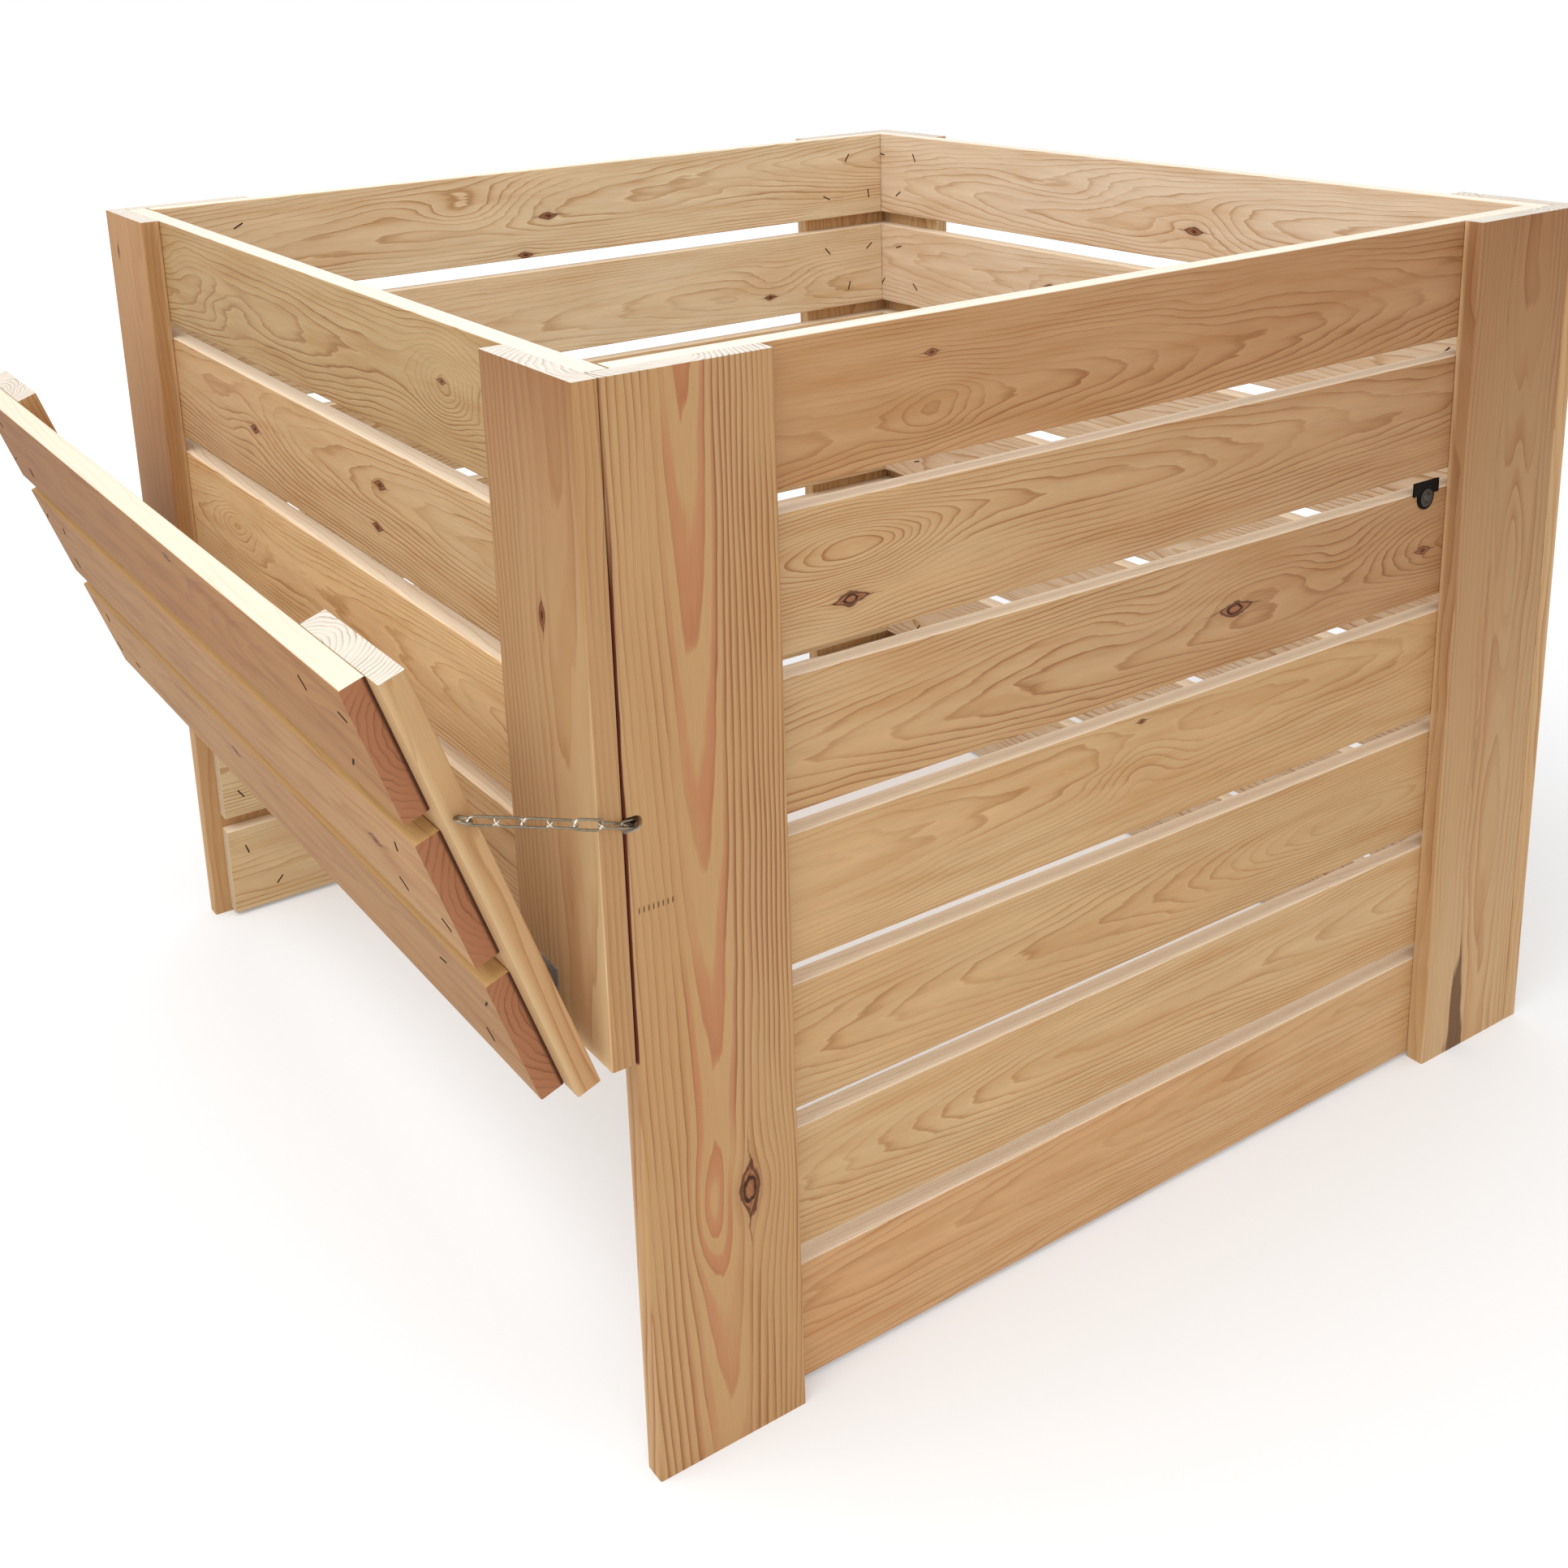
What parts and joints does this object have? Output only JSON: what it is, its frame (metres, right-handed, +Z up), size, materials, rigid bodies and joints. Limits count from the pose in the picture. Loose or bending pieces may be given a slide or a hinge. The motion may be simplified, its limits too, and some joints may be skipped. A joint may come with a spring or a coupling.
{
  "type": "compost bin",
  "caption": "Square open-topped slatted wooden compost bin with a hinged front flap that lifts for emptying and is held up by a short chain.",
  "frame": {"origin": "on the ground, under the middle of the whole object as it stands at rest with its flap raised", "axes": "+Z up, +X to the bin's right as seen facing its flap side from the front, +Y from the flap side to the back"},
  "size_m": [1.0122, 1.1504, 0.8],
  "materials": {
    "slat_pine": "planed, untreated",
    "corner_pine": "planed, untreated",
    "flap_pine": "planed, untreated",
    "dowel_beech": "turned",
    "hinge_steel": "zinc plated",
    "zinc_steel": "bright zinc plated",
    "staple_steel": "dull galvanised wire",
    "black_steel": "black"
  },
  "bodies": {
    "bin": {"front_slat_1": "slat_pine", "back_slat_1": "slat_pine", "left_slat_1": "slat_pine", "right_slat_1": "slat_pine", "front_slat_2": "slat_pine", "back_slat_2": "slat_pine", "left_slat_2": "slat_pine", "right_slat_2": "slat_pine", "front_slat_3": "slat_pine", "back_slat_3": "slat_pine", "left_slat_3": "slat_pine", "right_slat_3": "slat_pine", "front_slat_4": "slat_pine", "back_slat_4": "slat_pine", "left_slat_4": "slat_pine", "right_slat_4": "slat_pine", "back_slat_5": "slat_pine", "left_slat_5": "slat_pine", "right_slat_5": "slat_pine", "back_slat_6": "slat_pine", "left_slat_6": "slat_pine", "right_slat_6": "slat_pine", "back_slat_7": "slat_pine", "left_slat_7": "slat_pine", "right_slat_7": "slat_pine", "front_left_board": "corner_pine", "back_left_board": "corner_pine", "left_front_board": "corner_pine", "left_back_board": "corner_pine", "front_right_board": "corner_pine", "back_right_board": "corner_pine", "right_front_board": "corner_pine", "right_back_board": "corner_pine", "front_corner_dowels": "dowel_beech", "back_corner_dowels": "dowel_beech", "front_staples": "staple_steel", "back_staples": "staple_steel", "left_staples": "staple_steel", "right_staples": "staple_steel", "left_hinge_fixed_leaf": "hinge_steel", "left_hinge_pin": "hinge_steel", "right_hinge_fixed_leaf": "hinge_steel", "right_hinge_pin": "hinge_steel", "hinge_fixed_screws": "zinc_steel", "chain_anchor_link": "zinc_steel", "chain_anchor_screw": "zinc_steel", "fixing_plate": "black_steel", "fixing_plate_screw": "zinc_steel"},
    "flap": {"flap_staples": "staple_steel", "flap_board_1": "flap_pine", "flap_board_2": "flap_pine", "flap_board_3": "flap_pine", "flap_left_batten": "flap_pine", "flap_right_batten": "flap_pine", "left_hinge_flap_leaf": "hinge_steel", "right_hinge_flap_leaf": "hinge_steel", "hinge_flap_screws": "zinc_steel", "flap_screw_eye": "zinc_steel"},
    "chain": {"hold_up_chain": "zinc_steel"}
  },
  "joints": [
    {"name": "flap_hinge", "type": "hinge", "parent": "bin", "child": "flap", "pos_m": [0, -0.42889, 0.337], "axis": [1, 0, 0], "range_deg": [-18, 161], "deforming": ["hold_up_chain"]},
    {"name": "chain_swing", "type": "hinge", "parent": "bin", "child": "chain", "pos_m": [0.5044, -0.41046, 0.51258], "axis": [1, 0, 0], "range_deg": [-14, 111]}
  ],
  "couplings": [
    {"joint": "chain_swing", "follows": "flap_hinge", "ratio": 0.6803}
  ]
}
